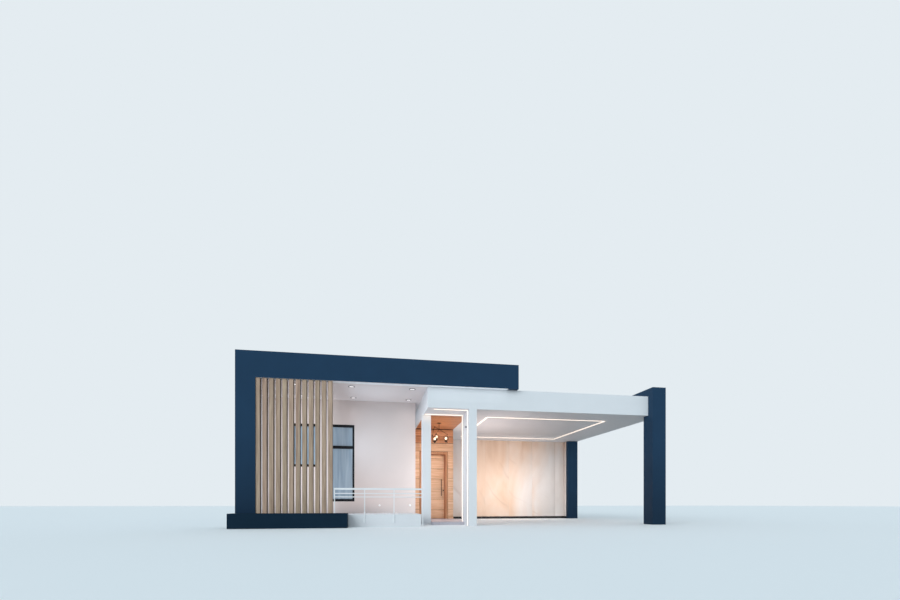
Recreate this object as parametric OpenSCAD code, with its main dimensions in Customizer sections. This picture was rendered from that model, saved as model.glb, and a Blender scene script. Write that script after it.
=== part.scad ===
// Single-storey flat-roofed house with a navy portal frame, a slatted porch,
// a timber-lined entry and an open two-car carport.
// Millimetres. X runs to the right along the front, Y to the rear, Z up from the ground.

/* [Navy frame] */
// Height of the frame above the ground
frame_top = 4290; // [4000:5:4600]
// Height of the band across the front
band_h = 645; // [450:5:800]
// Thickness of the band from front to back
band_t = 200; // [150:5:300]
// Width of the pier at the left end
pier_w = 460; // [300:5:600]
// Depth of the pier
pier_d = 460; // [300:5:700]
// Length of the band past the entry, over the carport
frame_overrun = 1115; // [800:5:1600]
// Width of the wall that closes the right end of the frame
end_wall_w = 280; // [200:5:350]

/* [Walls and roofs] */
// Thickness of the outer walls
wall_t = 180; // [150:5:250]
// Thickness of the high roof slab
high_slab_t = 200; // [150:5:260]
// Thickness of the low roof slab
low_slab_t = 150; // [120:5:200]
// Height of the parapets above the high roof slab
parapet_h = 300; // [150:5:400]
// Thickness of the parapets
parapet_t = 150; // [100:5:200]
// Height of the floor inside and in the entry
floor_h = 85; // [60:5:200]
// Thickness of the ceiling lining in the entry and the carport
lining_t = 20; // [12:1:30]

/* [Porch] */
// Width from the left wall to the right end of the front wall
porch_w = 4540; // [4200:5:5000]
// Depth of the porch in front of the front wall
porch_d = 2110; // [1700:5:2600]
// Height of the porch floor
plinth_h = 315; // [250:5:350]
// Distance of the plinth's right end from the end of the front wall
plinth_inset = 50; // [20:1:120]
// Diameter of a downlight's ring
downlight_dia = 170; // [130:1:200]
// Diameter of a downlight's lens
downlight_lens = 120; // [80:1:125]
// Thickness of a downlight's ring
downlight_t = 12; // [8:1:20]
// How far the lens lies behind the ring
downlight_recess = 4; // [2:1:6]
// Distance of the first row of downlights from the band's front
downlight_front = 480; // [400:5:700]
// Distance between the two rows of downlights
downlight_row = 1250; // [900:5:1400]
// Distance of the first downlight from the left face of the house
downlight_left = 1295; // [900:5:1600]
// Distance from the first downlight to the second
downlight_pitch = 1420; // [1200:5:1500]
// Distance of the last downlight from the end of the front wall
downlight_right = 240; // [150:5:400]
// Diameter of a round light on the front wall
wall_light_dia = 60; // [40:1:110]
// How far a round light stands off the wall
wall_light_t = 20; // [10:1:40]
// Height of the round lights above the ground
wall_light_z = 540; // [450:5:700]
// Distance of the last round light from the end of the front wall
wall_light_inset = 165; // [100:5:300]
// Distance between the round lights
wall_light_pitch = 910; // [600:5:1200]

/* [Planter] */
// Length of the planter along the front
planter_l = 2720; // [2400:5:3200]
// Depth of the planter
planter_d = 420; // [300:5:600]
// Height of the planter
planter_h = 355; // [320:5:450]
// How far the planter reaches past the left face of the house
planter_overhang = 65; // [20:1:120]
// Thickness of the planter's walls
planter_wall = 80; // [50:5:100]
// Distance from the planter's rim down to the soil
soil_drop = 60; // [20:5:120]

/* [Slats] */
// Number of slats
slat_count = 12; // [8:1:12]
// Width of a slat's face
slat_w = 102; // [70:1:130]
// Depth of a slat
slat_d = 150; // [100:5:170]
// Distance from one slat to the next
slat_pitch = 155; // [140:1:165]
// Distance of the slats behind the band's face
slat_setback = 20; // [5:1:30]

/* [Railing] */
// Height of the railing's top above the ground
rail_top = 980; // [900:5:1100]
// Height of the top rail's section
top_rail_h = 45; // [30:1:60]
// Depth of the top rail's section
top_rail_d = 45; // [30:1:60]
// Side of the thin bars and of the posts
rail_bar = 22; // [15:1:30]
// Distance between the middles of the thin bars
rail_bar_pitch = 88; // [60:1:110]
// Distance from the top rail down to the first thin bar's middle
rail_bar_drop = 90; // [70:1:110]
// Number of posts
rail_post_count = 4; // [3:1:6]
// Height of the lower end of the posts on the plinth's face
rail_post_foot = 110; // [60:5:180]
// Distance of the first post from the last slat
rail_gap = 43; // [20:1:80]
// Distance of the railing's end from the end of the front wall
rail_end_inset = 5; // [0:1:40]

/* [Windows] */
// Width of a window's upright bars
window_bar = 45; // [35:1:70]
// Height of a window's level bars
window_rail = 60; // [40:1:80]
// Depth of a window's frame
window_depth = 70; // [50:1:90]
// Distance of a window's frame behind the wall's face
window_setback = 35; // [20:1:50]
// Thickness of the glass
glass_t = 10; // [6:1:20]
// Width of the tall window on the porch
tall_window_w = 700; // [600:5:900]
// Distance of the tall window's middle from the left face
tall_window_x = 2380; // [2250:5:2700]
// Height of the tall window's sill above the ground
tall_window_sill = 655; // [500:5:900]
// Height of all window heads above the ground
window_head = 2925; // [2600:5:3000]
// Height of the tall window's middle bar above the ground
tall_window_bar_z = 2260; // [1800:1:2400]
// Width of the window behind the slats
high_window_w = 730; // [500:5:800]
// Distance of that window's middle from the left face
high_window_x = 1325; // [1000:5:1450]
// Height of the sill of the window behind the slats
high_window_sill = 1665; // [1400:5:2000]
// Width of a window at the sides and the rear
plain_window_w = 1100; // [900:5:1300]
// Height of the sill of a window at the sides and the rear
plain_window_sill = 1105; // [900:5:1400]

/* [Entry] */
// Distance from the end of the front wall to the portal's left face
portal_gap = 135; // [60:5:200]
// Width of the portal from its left face to the right face of its right post
entry_w = 1310; // [1300:5:1500]
// Distance of the low roof's fascia behind the navy band's face
portal_setback = 140; // [80:5:190]
// Depth of the entry behind the front wall's face
recess_d = 1380; // [1000:5:1500]
// Height of the soffit over the entry and the carport
soffit_z = 3100; // [3000:5:3150]
// Thickness of the low roof's fascia
fascia_t = 150; // [120:5:160]
// Width of the left post
left_post_w = 245; // [150:5:300]
// How far the left post stands out past the portal's left face
left_post_proud = 32; // [0:1:50]
// Depth of the left post
left_post_d = 250; // [150:5:300]
// Distance of the left post behind the band's face
left_post_y = 1130; // [1070:5:1400]
// Width of the right post
right_post_w = 210; // [150:5:260]
// Depth of the right post
right_post_d = 990; // [960:5:1200]
// Distance of the carport's side wall from the portal's right face
side_wall_inset = 30; // [0:1:60]
// Distance of the entry floor's front edge behind the band's face
step_y = 750; // [700:5:1050]
// Depth of the plastered soffit in front of the timber ceiling
plaster_soffit_d = 1040; // [980:5:1100]
// Thickness of the timber cladding above its joint
cladding_t = 15; // [12:1:25]
// How far the lower cladding stands in front of the upper one
cladding_step = 10; // [4:1:20]
// Height of the cladding's joint above the ground
cladding_joint_z = 2615; // [2500:5:2800]

/* [Front door] */
// Distance of the door's frame from the portal's left face
door_inset = 140; // [60:5:200]
// Width of the door leaf
leaf_w = 770; // [700:5:860]
// Height of the door leaf
leaf_h = 2150; // [1980:5:2200]
// Thickness of the door leaf
leaf_t = 45; // [40:1:60]
// Width of the frame beside and over the leaf
jamb_w = 85; // [70:1:110]
// Width of the frame's front face
frame_face_w = 70; // [50:1:80]
// Depth of the step behind the frame's front face
frame_step_d = 60; // [30:5:80]
// Gap beside the hinges
hinge_gap = 6; // [5:1:10]
// Gap beside the lock and over the leaf
lock_gap = 8; // [8:1:12]
// Gap under the leaf
foot_gap = 8; // [6:1:15]
// How far the frame's stop laps over the leaf's edge
stop_lap = 12; // [8:1:20]
// Gap between the stop and the leaf
stop_gap = 6; // [5:1:10]
// Length of the bar handle
handle_l = 565; // [400:5:700]
// Diameter of the bar handle
handle_dia = 22; // [16:1:30]
// Distance from the leaf's face to the middle of the bar handle
handle_reach = 50; // [40:1:70]
// Distance of the bar handle from the leaf's free edge
handle_inset = 110; // [80:1:150]
// Height of the bar handle's middle above the floor
handle_z = 1055; // [900:5:1100]
// Distance of the lock from the leaf's free edge
lock_inset = 38; // [30:1:60]
// Distance of the lock below the handle's middle
lock_drop = 100; // [60:5:200]
// Radius of a hinge knuckle
knuckle_r = 8; // [7:1:10]
// Radius of a hinge pin
hinge_pin_r = 4; // [3:0.5:5]
// Clearance round a hinge pin
pin_clearance = 0.3; // [0.2:0.05:0.5]
// Height of a hinge
hinge_h = 100; // [80:1:130]

/* [Lamp] */
// Distance of the lamp from the portal's left face
lamp_x = 625; // [500:5:800]
// Distance of the lamp in front of the door wall
lamp_y = 1150; // [700:5:1200]
// Length of the lamp's stem below the ceiling
lamp_stem_l = 170; // [100:5:200]
// Diameter of a lamp globe
globe_dia = 180; // [120:1:184]
// Diameter of the cup that holds a globe
cup_dia = 100; // [60:1:110]
// Height of the cup
cup_h = 40; // [30:1:50]

/* [Carport] */
// Clear width between the portal and the columns
bay_w = 5010; // [4700:5:5600]
// Depth from the fascia's face to the marble
bay_d = 5640; // [5200:5:6200]
// Depth of the rooms behind the carport
wing_d = 4000; // [3500:5:4600]
// Width of a column
column_w = 405; // [300:5:500]
// Depth of a column
column_d = 430; // [300:5:500]
// Height of the front column and the beam behind it
column_top = 3860; // [3700:5:4000]
// How far the front column stands in front of the fascia
column_forward = 215; // [50:5:250]
// How far the rear column reaches behind the marble's face
column_lap = 80; // [30:5:120]
// Thickness of the marble slabs
marble_t = 20; // [12:1:30]
// How far the marble returns along the rear column
marble_return = 180; // [100:5:300]
// Width of the joint between the marble and its return
facing_joint = 2; // [2:0.5:4]
// Height of the dark skirting under the marble
skirting_h = 90; // [40:5:120]
// How far the skirting lies behind the marble's face
skirting_setback = 8; // [4:1:10]

/* [Light strips] */
// Width of a light strip
strip_w = 40; // [25:1:60]
// Depth of the light strips in the right post
strip_t = 12; // [6:1:20]
// Distance of the first entry strip behind the fascia's face
strip_front = 190; // [185:5:300]
// Distance of the second entry strip behind the fascia's face
strip_rear = 890; // [800:5:930]
// Distance of the first entry strip's end from the portal's left face
strip_front_inset = 185; // [100:5:300]
// Distance of the second entry strip's end from the portal's left face
strip_rear_inset = 40; // [30:5:120]
// Distance of the carport's rectangle of light from the portal
ring_left = 540; // [300:5:900]
// Distance of the rectangle of light from the columns
ring_right = 760; // [300:5:900]
// Distance of the rectangle of light from the fascia's face
ring_front = 1000; // [600:5:1400]
// Distance of the rectangle of light from the marble
ring_rear = 770; // [500:5:1000]

/* [Hidden] */
$fn = 48;

// Cuts reach this far past a face
past = 2;

// Heights
ceiling_z = frame_top - band_h;
slab_z = soffit_z + lining_t;
deck_z = slab_z + low_slab_t;
high_deck_z = ceiling_z + high_slab_t;

// Places along the front
portal_x = porch_w + portal_gap;
portal_end_x = portal_x + entry_w;
frame_w = portal_end_x + frame_overrun;
column_x = portal_end_x + bay_w;
house_w = column_x + column_w;
plinth_end_x = porch_w - plinth_inset;
recess_inner_x = porch_w - wall_t;
right_post_x = portal_end_x - right_post_w;
side_face_x = portal_end_x - side_wall_inset;
side_wall_x = side_face_x - wall_t;
left_post_x = portal_x - left_post_proud;
left_post_end_x = left_post_x + left_post_w;
wing_inner_x = house_w - wall_t;
end_wall_x = frame_w - end_wall_w;

// Places from front to rear
fascia_y = portal_setback;
fascia_back_y = fascia_y + fascia_t;
front_wall_back_y = porch_d + wall_t;
door_wall_y = porch_d + recess_d;
door_wall_back_y = door_wall_y + wall_t;
plaster_end_y = fascia_y + plaster_soffit_d;
marble_y = fascia_y + bay_d;
back_wall_y = marble_y + marble_t;
back_wall_back_y = back_wall_y + wall_t;
column_back_y = marble_y + column_lap;
house_d = marble_y + wing_d;
rear_inner_y = house_d - wall_t;
front_column_y = fascia_y - column_forward;
right_post_back_y = fascia_y + right_post_d;

// Door
door_x = portal_x + door_inset;
leaf_x = door_x + jamb_w + hinge_gap;
leaf_z = floor_h + foot_gap;
door_opening_w = hinge_gap + leaf_w + lock_gap;
door_end_x = door_x + door_opening_w + 2 * jamb_w;
door_opening_top = leaf_z + leaf_h + lock_gap;
door_frame_top = door_opening_top + jamb_w;
leaf_y = door_wall_back_y - leaf_t;
stop_back_y = leaf_y - stop_gap;
hinge_x = leaf_x - hinge_gap / 2;
hinge_y = door_wall_back_y + knuckle_r;
hinge_plate_t = 3;
hinge_plate_w = 42;
hinge_play = 0.5;
hinge_zs = [for (share = [0.1, 0.5, 0.9]) leaf_z + leaf_h * share - hinge_h / 2];

// Slats and railing
slats_end_x = pier_w + (slat_count - 1) * slat_pitch + slat_w;
rail_x = slats_end_x + rail_gap;
rail_end_x = porch_w - rail_end_inset;
rail_post_pitch = (rail_end_x - rail_x - rail_bar) / (rail_post_count - 1);
planter_end_x = planter_l - planter_overhang;

// Windows: wall, middle along the wall, width, sill, middle bar
windows = [
    ["front", tall_window_x, tall_window_w, tall_window_sill, tall_window_bar_z],
    ["front", high_window_x, high_window_w, high_window_sill, 0],
    ["left", wing_d / 2, plain_window_w, plain_window_sill, tall_window_bar_z],
    ["left", wing_d + recess_d, plain_window_w, plain_window_sill, tall_window_bar_z],
    ["right", marble_y + wing_d / 2, plain_window_w, plain_window_sill, tall_window_bar_z],
    ["rear", column_w + bay_w / 4, plain_window_w, plain_window_sill, tall_window_bar_z],
    ["rear", column_w + bay_w * 3 / 4, plain_window_w, plain_window_sill, tall_window_bar_z],
    ["rear", house_w - porch_w * 3 / 4, plain_window_w, plain_window_sill, tall_window_bar_z],
    ["rear", house_w - porch_w / 4, plain_window_w, plain_window_sill, tall_window_bar_z]
];

// Lamp
lamp_pos = [portal_x + lamp_x, door_wall_y - lamp_y, soffit_z];
canopy_r = 70;
canopy_h = 25;
stem_r = 6;
hub_r = 20;
elbow_r = 16;
finial_r = 14;
globe_fit = 0.3;
hub = [0, 0, -canopy_h - lamp_stem_l];
// Each globe's middle and the elbows of its arm, from the lamp's hub
lamp_arms = [
    [[-70, 60, -230], [[-70, 170, -125]]],
    [[-150, -110, -315], [[-140, -30, 65], [-190, -60, -30], [-228, -210, -230]]],
    [[218, 0, -275], [[274, 105, -135]]]
];

// The model's middle stands on the origin
middle = [(house_w - planter_overhang) / 2, (house_d - planter_d) / 2, 0];

module place() {
    translate(-middle) children();
}

// A block between two places along each axis
module block(x, y, z) {
    translate([x[0], y[0], z[0]]) cube([x[1] - x[0], y[1] - y[0], z[1] - z[0]]);
}

// A plate with the given outline between two heights
module plate(outline, z) {
    translate([0, 0, z[0]]) linear_extrude(z[1] - z[0]) polygon(outline);
}

// A round rod from one point to another
module rod(from, to, r) {
    reach = to - from;
    translate(from)
        rotate([0, acos(reach[2] / norm(reach)), atan2(reach[1], reach[0])])
            cylinder(r = r, h = norm(reach));
}

// Stands on a wall's outer face: X along it, Y into the wall
module on_wall(wall) {
    if (wall == "front") translate([0, porch_d, 0]) children();
    if (wall == "left") translate([0, house_d, 0]) rotate(-90) children();
    if (wall == "right") translate([house_w, 0, 0]) rotate(90) children();
    if (wall == "rear") translate([house_w, house_d, 0]) rotate(180) children();
}

module window_holes(wall) {
    for (w = windows) if (w[0] == wall)
        on_wall(wall)
            block([w[1] - w[2] / 2, w[1] + w[2] / 2], [-past, wall_t + past], [w[3], window_head]);
}

module window_frame(w) {
    left = w[1] - w[2] / 2;
    right = w[1] + w[2] / 2;
    depth = [window_setback, window_setback + window_depth];
    difference() {
        block([left, right], depth, [w[3], window_head]);
        block([left + window_bar, right - window_bar], depth + [-past, past],
            [w[3] + window_rail, window_head - window_rail]);
    }
    if (w[4] > 0)
        block([left + window_bar, right - window_bar], depth,
            [w[4] - window_rail / 2, w[4] + window_rail / 2]);
}

module window_panes(w) {
    span = [w[1] - w[2] / 2 + window_bar, w[1] + w[2] / 2 - window_bar];
    glass_y = window_setback + (window_depth - glass_t) / 2;
    depth = [glass_y, glass_y + glass_t];
    low = w[3] + window_rail;
    high = window_head - window_rail;
    if (w[4] > 0) {
        block(span, depth, [low, w[4] - window_rail / 2]);
        block(span, depth, [w[4] + window_rail / 2, high]);
    } else {
        block(span, depth, [low, high]);
    }
}

module planter_box() color("midnightblue") place() {
    difference() {
        block([-planter_overhang, planter_end_x], [-planter_d, 0], [0, planter_h]);
        block([planter_wall - planter_overhang, planter_end_x - planter_wall],
            [planter_wall - planter_d, -planter_wall], [-past, planter_h + past]);
    }
}

module planter_soil() color("saddlebrown") place() {
    block([planter_wall - planter_overhang, planter_end_x - planter_wall],
        [planter_wall - planter_d, -planter_wall], [0, planter_h - soil_drop]);
}

module porch_plinth() color("whitesmoke") place() {
    plate([
        [pier_w, 0], [plinth_end_x, 0], [plinth_end_x, porch_d],
        [wall_t, porch_d], [wall_t, pier_d], [pier_w, pier_d]
    ], [0, plinth_h]);
}

module frame_pier() color("midnightblue") place() {
    block([0, pier_w], [0, pier_d], [0, ceiling_z]);
}

module frame_band() color("midnightblue") place() {
    block([0, frame_w], [0, band_t], [ceiling_z, frame_top]);
}

module timber_slats() color("tan") place() {
    for (i = [0 : slat_count - 1]) {
        x = pier_w + i * slat_pitch;
        block([x, x + slat_w], [slat_setback, slat_setback + slat_d], [plinth_h, ceiling_z]);
    }
}

module porch_railing() color("white") place() {
    top_z = rail_top - top_rail_h;
    middle_y = -rail_bar / 2;
    block([rail_x, rail_end_x], [middle_y - top_rail_d / 2, middle_y + top_rail_d / 2], [top_z, rail_top]);
    for (i = [0, 1]) {
        z = top_z - rail_bar_drop - i * rail_bar_pitch;
        block([rail_x, rail_end_x], [-rail_bar, 0], [z - rail_bar / 2, z + rail_bar / 2]);
    }
    for (i = [0 : rail_post_count - 1]) {
        x = rail_x + i * rail_post_pitch;
        foot = x < planter_end_x ? planter_h : x < plinth_end_x ? rail_post_foot : 0;
        block([x, x + rail_bar], [-rail_bar, 0], [foot, top_z]);
    }
}

module left_wall() color("whitesmoke") place() {
    difference() {
        block([0, wall_t], [pier_d, house_d], [0, ceiling_z]);
        window_holes("left");
    }
}

module front_wall() color("white") place() {
    difference() {
        block([wall_t, porch_w], [porch_d, front_wall_back_y], [0, ceiling_z]);
        window_holes("front");
    }
}

module window_frames() color("black") place() {
    for (w = windows) on_wall(w[0]) window_frame(w);
}

module window_glass() color("lightsteelblue", 0.5) place() {
    for (w = windows) on_wall(w[0]) window_panes(w);
}

module porch_downlights() color("white") place() {
    for (x = [downlight_left, downlight_left + downlight_pitch, porch_w - downlight_right], row = [0, 1])
        translate([x, downlight_front + row * downlight_row, ceiling_z - downlight_t]) difference() {
            cylinder(d = downlight_dia, h = downlight_t);
            translate([0, 0, -past]) cylinder(d = downlight_lens, h = downlight_recess + past);
        }
}

module low_wall_lights() color("white") place() {
    for (i = [0, 1])
        translate([porch_w - wall_light_inset - i * wall_light_pitch, porch_d, wall_light_z])
            rotate([90, 0, 0]) cylinder(d = wall_light_dia, h = wall_light_t);
}

module high_roof_slab() color("gainsboro") place() {
    block([0, frame_w], [band_t, house_d], [ceiling_z, high_deck_z]);
}

module roof_parapets() color("whitesmoke") place() {
    difference() {
        block([0, frame_w], [band_t, house_d], [high_deck_z, high_deck_z + parapet_h]);
        block([parapet_t, frame_w - parapet_t], [band_t - past, house_d - parapet_t],
            [high_deck_z - past, high_deck_z + parapet_h + past]);
    }
}

module roof_step_wall() color("whitesmoke") place() {
    block([end_wall_x, frame_w], [fascia_back_y, rear_inner_y], [deck_z, ceiling_z]);
}

module recess_side_wall() color("white") place() {
    block([recess_inner_x, porch_w], [front_wall_back_y, door_wall_y], [0, ceiling_z]);
}

module door_wall_left() color("white") place() {
    block([recess_inner_x, door_x], [door_wall_y, door_wall_back_y], [0, ceiling_z]);
}

module door_wall_right() color("white") place() {
    block([door_end_x, side_face_x], [door_wall_y, door_wall_back_y], [0, ceiling_z]);
}

module door_wall_over() color("white") place() {
    block([door_x, door_end_x], [door_wall_y, door_wall_back_y], [door_frame_top, ceiling_z]);
}

module timber_cladding() color("peru") place() {
    lower_y = door_wall_y - cladding_t - cladding_step;
    difference() {
        union() {
            block([porch_w, side_face_x], [lower_y, door_wall_y], [floor_h, cladding_joint_z]);
            block([porch_w, side_face_x], [door_wall_y - cladding_t, door_wall_y],
                [cladding_joint_z, soffit_z]);
        }
        block([door_x, door_end_x], [lower_y - past, door_wall_y + past], [floor_h - past, door_frame_top]);
    }
}

module door_frame() color("sienna") place() {
    front_y = door_wall_y - cladding_t - cladding_step;
    difference() {
        block([door_x, door_end_x], [front_y, door_wall_back_y], [floor_h, door_frame_top]);
        block([door_x + frame_face_w, door_end_x - frame_face_w], [front_y - past, front_y + frame_step_d],
            [floor_h - past, door_frame_top - frame_face_w]);
        block([door_x + jamb_w, door_end_x - jamb_w], [stop_back_y, door_wall_back_y + past],
            [floor_h - past, door_opening_top]);
        block([leaf_x + stop_lap, leaf_x + leaf_w - stop_lap], [front_y - past, door_wall_back_y + past],
            [floor_h - past, leaf_z + leaf_h - stop_lap]);
    }
}

module front_door() color("burlywood") place() {
    block([leaf_x, leaf_x + leaf_w], [leaf_y, leaf_y + leaf_t], [leaf_z, leaf_z + leaf_h]);
}

module door_handles() color("dimgray") place() {
    bar_x = leaf_x + leaf_w - handle_inset;
    lock_x = leaf_x + leaf_w - lock_inset;
    stand = handle_l * 0.38;
    for (side = [[leaf_y, -1], [leaf_y + leaf_t, 1]]) {
        bar_y = side[0] + side[1] * handle_reach;
        translate([bar_x, bar_y, floor_h + handle_z - handle_l / 2]) cylinder(d = handle_dia, h = handle_l);
        for (up = [-stand, stand])
            rod([bar_x, side[0], floor_h + handle_z + up], [bar_x, bar_y, floor_h + handle_z + up],
                handle_dia * 0.35);
        rod([lock_x, side[0], floor_h + handle_z - lock_drop],
            [lock_x, side[0] + side[1] * handle_dia, floor_h + handle_z - lock_drop], handle_dia);
    }
}

// One knuckle on the hinge's axis, with its plate to one side
module knuckle(z, h, side, bore) {
    difference() {
        union() {
            translate([hinge_x, hinge_y, z]) cylinder(r = knuckle_r, h = h);
            block(side > 0 ? [hinge_x, hinge_x + hinge_plate_w] : [hinge_x - hinge_plate_w, hinge_x],
                [door_wall_back_y, door_wall_back_y + hinge_plate_t], [z, z + h]);
        }
        if (bore > 0) translate([hinge_x, hinge_y, z - past]) cylinder(r = bore, h = h + 2 * past);
    }
}

module door_hinge_knuckles() color("dimgray") place() {
    for (z = hinge_zs)
        knuckle(z + hinge_h / 3 + hinge_play, hinge_h / 3 - 2 * hinge_play, 1, hinge_pin_r + pin_clearance);
}

module door_hinge_pins() color("gray") place() {
    for (z = hinge_zs) {
        knuckle(z, hinge_h / 3, -1, 0);
        knuckle(z + hinge_h * 2 / 3, hinge_h / 3, -1, 0);
        translate([hinge_x, hinge_y, z]) cylinder(r = hinge_pin_r, h = hinge_h);
    }
}

module entry_floor() color("lightgray") place() {
    post_back_y = left_post_y + left_post_d;
    plate([
        [left_post_end_x, step_y], [right_post_x, step_y], [right_post_x, right_post_back_y],
        [portal_end_x, right_post_back_y], [portal_end_x, door_wall_y], [door_end_x, door_wall_y],
        [door_end_x, door_wall_back_y], [door_x, door_wall_back_y], [door_x, door_wall_y],
        [porch_w, door_wall_y], [porch_w, post_back_y], [left_post_end_x, post_back_y]
    ], [0, floor_h]);
}

module timber_ceiling() color("peru") place() {
    block([portal_x + lining_t, side_face_x], [plaster_end_y, door_wall_y], [soffit_z, slab_z]);
}

// Half the outline of the ceiling canopy, from the ceiling down to the stem
module canopy_outline() {
    polygon([
        [0, 0], [canopy_r, 0], [canopy_r * 0.9, -canopy_h * 0.5], [stem_r * 2, -canopy_h], [0, -canopy_h]
    ]);
}

// Half the outline of a globe's cup, from its foot up to its rim
module cup_outline() {
    polygon([[0, 0], [cup_dia * 0.3, 0], [cup_dia * 0.46, cup_h * 0.45], [cup_dia / 2, cup_h], [0, cup_h]]);
}

module globe_cup(globe) {
    rim = globe[2] - sqrt(pow(globe_dia / 2, 2) - pow(cup_dia / 2, 2));
    difference() {
        translate([globe[0], globe[1], rim - cup_h]) rotate_extrude() cup_outline();
        translate(globe) sphere(d = globe_dia + 2 * globe_fit);
    }
    translate([globe[0], globe[1], rim - cup_h]) sphere(r = finial_r);
}

// The arm runs from the hub over its elbows, past the globe and in under the cup
module lamp_arm(globe, elbows) {
    foot_z = globe[2] - globe_dia / 2 - cup_h / 2;
    last = elbows[len(elbows) - 1];
    route = concat([hub], [for (elbow = elbows) hub + elbow], [hub + [last[0], last[1], foot_z]],
        [hub + [globe[0], globe[1], foot_z]]);
    for (i = [1 : len(route) - 1]) rod(route[i - 1], route[i], stem_r);
    for (i = [1 : len(route) - 2]) translate(route[i]) sphere(r = elbow_r);
}

module pendant_lamp() color("darkgoldenrod") place() translate(lamp_pos) {
    rotate_extrude() canopy_outline();
    rod(hub, [0, 0, -canopy_h / 2], stem_r);
    translate(hub) sphere(r = hub_r);
    for (arm = lamp_arms) {
        globe_cup(hub + arm[0]);
        lamp_arm(arm[0], arm[1]);
    }
}

module lamp_globes() color("lemonchiffon") place() translate(lamp_pos) {
    for (arm = lamp_arms) translate(hub + arm[0]) sphere(d = globe_dia);
}

module portal_left_post() color("white") place() {
    block([left_post_x, left_post_end_x], [left_post_y, left_post_y + left_post_d], [0, soffit_z]);
}

module portal_right_post() color("white") place() {
    difference() {
        block([right_post_x, portal_end_x], [fascia_y, right_post_back_y], [0, soffit_z]);
        for (y = [strip_front, strip_rear])
            block([right_post_x - past, right_post_x + strip_t],
                [fascia_y + y - strip_w / 2, fascia_y + y + strip_w / 2], [-past, soffit_z + past]);
    }
}

module portal_side_fascia() color("white") place() {
    difference() {
        block([portal_x, portal_x + fascia_t], [fascia_back_y, door_wall_y], [soffit_z, ceiling_z]);
        block([portal_x + lining_t, portal_x + fascia_t + past], [fascia_back_y - past, door_wall_y + past],
            [soffit_z - past, slab_z]);
    }
}

module portal_front_fascia() color("white") place() {
    block([portal_x, column_x], [fascia_y, fascia_back_y], [soffit_z, ceiling_z]);
}

// The channels that the light strips lie in, in plan
module strip_plan() {
    for (strip = [[strip_front, strip_front_inset], [strip_rear, strip_rear_inset]])
        translate([portal_x + strip[1], fascia_y + strip[0] - strip_w / 2])
            square([right_post_x - portal_x - strip[1], strip_w]);
    difference() {
        ring_block(0);
        ring_block(strip_w);
    }
}

module ring_block(inset) {
    low = [portal_end_x + ring_left + inset, fascia_y + ring_front + inset];
    high = [column_x - ring_right - inset, marble_y - ring_rear - inset];
    translate(low) square(high - low);
}

module plaster_soffit() color("white") place() {
    difference() {
        plate([
            [portal_x + lining_t, fascia_back_y], [column_x, fascia_back_y],
            [column_x, front_column_y + column_d], [house_w, front_column_y + column_d],
            [house_w, column_back_y], [column_x, column_back_y], [column_x, back_wall_y],
            [side_face_x, back_wall_y], [side_face_x, plaster_end_y], [portal_x + lining_t, plaster_end_y]
        ], [soffit_z, slab_z]);
        translate([0, 0, soffit_z - past]) linear_extrude(lining_t + 2 * past) strip_plan();
    }
}

module led_strips() color("lightyellow") place() {
    translate([0, 0, soffit_z]) linear_extrude(lining_t) strip_plan();
    for (y = [strip_front, strip_rear])
        block([right_post_x, right_post_x + strip_t],
            [fascia_y + y - strip_w / 2, fascia_y + y + strip_w / 2], [0, soffit_z]);
}

module low_roof_slab() color("gainsboro") place() {
    plate([
        [portal_x + fascia_t, fascia_back_y], [column_x, fascia_back_y], [column_x, column_back_y],
        [wing_inner_x, column_back_y], [wing_inner_x, rear_inner_y], [side_face_x, rear_inner_y],
        [side_face_x, door_wall_y], [portal_x + fascia_t, door_wall_y]
    ], [slab_z, deck_z]);
}

module carport_columns() color("midnightblue") place() {
    block([column_x, house_w], [front_column_y, front_column_y + column_d], [0, column_top]);
    block([column_x, house_w], [column_back_y - column_d, column_back_y], [0, soffit_z]);
}

module carport_side_beam() color("midnightblue") place() {
    block([column_x, house_w], [front_column_y + column_d, column_back_y], [slab_z, column_top]);
}

module carport_back_wall() color("white") place() {
    plate([
        [side_face_x, back_wall_y], [column_x, back_wall_y], [column_x, column_back_y],
        [wing_inner_x, column_back_y], [wing_inner_x, back_wall_back_y], [side_face_x, back_wall_back_y]
    ], [0, slab_z]);
}

// The facing of the back wall and, past an open joint, its return along the rear column
module facing(setback, z) {
    front_y = marble_y + setback;
    return_x = column_x - marble_t + setback;
    block([side_face_x, return_x - facing_joint], [front_y, back_wall_y], z);
    block([return_x, column_x], [front_y - marble_return, back_wall_y], z);
}

module marble_cladding() color("antiquewhite") place() facing(0, [skirting_h, soffit_z]);

module marble_skirting() color("black") place() facing(skirting_setback, [0, skirting_h]);

module carport_side_wall() color("white") place() {
    block([side_wall_x, side_face_x], [door_wall_back_y, back_wall_back_y], [0, ceiling_z]);
    block([side_wall_x, side_face_x], [back_wall_back_y, rear_inner_y], [slab_z, ceiling_z]);
}

module wing_side_wall() color("whitesmoke") place() {
    difference() {
        block([wing_inner_x, house_w], [column_back_y, rear_inner_y], [0, ceiling_z]);
        window_holes("right");
    }
}

module rear_wall() color("whitesmoke") place() {
    difference() {
        block([wall_t, house_w], [rear_inner_y, house_d], [0, ceiling_z]);
        window_holes("rear");
    }
}

module interior_floor() color("silver") place() {
    plate([
        [wall_t, front_wall_back_y], [recess_inner_x, front_wall_back_y],
        [recess_inner_x, door_wall_back_y], [side_wall_x, door_wall_back_y],
        [side_wall_x, back_wall_back_y], [wing_inner_x, back_wall_back_y],
        [wing_inner_x, rear_inner_y], [wall_t, rear_inner_y]
    ], [0, floor_h]);
}

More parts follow.
